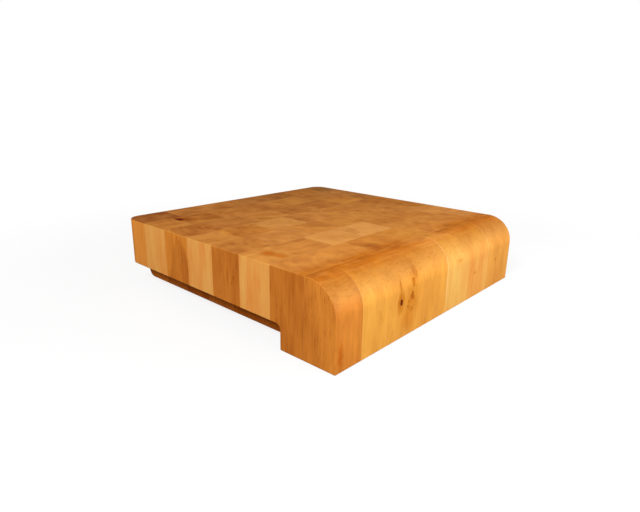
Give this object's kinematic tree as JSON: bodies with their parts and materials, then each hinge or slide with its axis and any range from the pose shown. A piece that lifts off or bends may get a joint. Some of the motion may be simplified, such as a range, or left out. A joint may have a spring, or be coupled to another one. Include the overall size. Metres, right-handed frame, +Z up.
{
  "type": "butcher block cutting board",
  "caption": "Thick end-grain cutting block glued up from upright wooden blocks, with a rounded front edge, a deep front foot and a finger grip along each side for lifting.",
  "frame": {"origin": "middle of the underside, on the surface that the board stands on", "axes": "+X to the right along the rounded front edge, +Y from the front to the back, +Z up out of the cutting surface"},
  "size_m": [0.517, 0.506, 0.12],
  "materials": {
    "pale_wood": "oiled satin, the palest blocks",
    "honey_wood": "oiled satin, the middle tone",
    "amber_wood": "oiled satin, the darkest blocks"
  },
  "bodies": {
    "root": {"front_block_1": "amber_wood", "front_block_2": "honey_wood", "front_block_3": "pale_wood", "front_block_4": "honey_wood", "row_1_block_1": "amber_wood", "row_1_block_2": "honey_wood", "row_1_block_3": "amber_wood", "row_1_block_4": "pale_wood", "row_1_block_5": "honey_wood", "row_1_block_6": "amber_wood", "row_1_block_7": "honey_wood", "row_2_block_1": "pale_wood", "row_2_block_2": "honey_wood", "row_2_block_3": "pale_wood", "row_2_block_4": "pale_wood", "row_2_block_5": "pale_wood", "row_2_block_6": "honey_wood", "row_2_block_7": "amber_wood", "row_3_block_1": "amber_wood", "row_3_block_2": "honey_wood", "row_3_block_3": "honey_wood", "row_3_block_4": "pale_wood", "row_3_block_5": "pale_wood", "row_3_block_6": "honey_wood", "row_3_block_7": "pale_wood", "row_4_block_1": "pale_wood", "row_4_block_2": "amber_wood", "row_4_block_3": "pale_wood", "row_4_block_4": "honey_wood", "row_4_block_5": "honey_wood", "row_4_block_6": "honey_wood", "row_4_block_7": "amber_wood", "row_5_block_1": "amber_wood", "row_5_block_2": "honey_wood", "row_5_block_3": "honey_wood", "row_5_block_4": "honey_wood", "row_5_block_5": "honey_wood", "row_5_block_6": "amber_wood", "row_5_block_7": "pale_wood", "row_6_block_1": "pale_wood", "row_6_block_2": "honey_wood", "row_6_block_3": "honey_wood", "row_6_block_4": "amber_wood", "row_6_block_5": "pale_wood", "row_6_block_6": "honey_wood", "row_6_block_7": "amber_wood", "row_7_block_1": "amber_wood", "row_7_block_2": "honey_wood", "row_7_block_3": "honey_wood", "row_7_block_4": "honey_wood", "row_7_block_5": "amber_wood", "row_7_block_6": "honey_wood", "row_7_block_7": "pale_wood"}
  },
  "joints": []
}
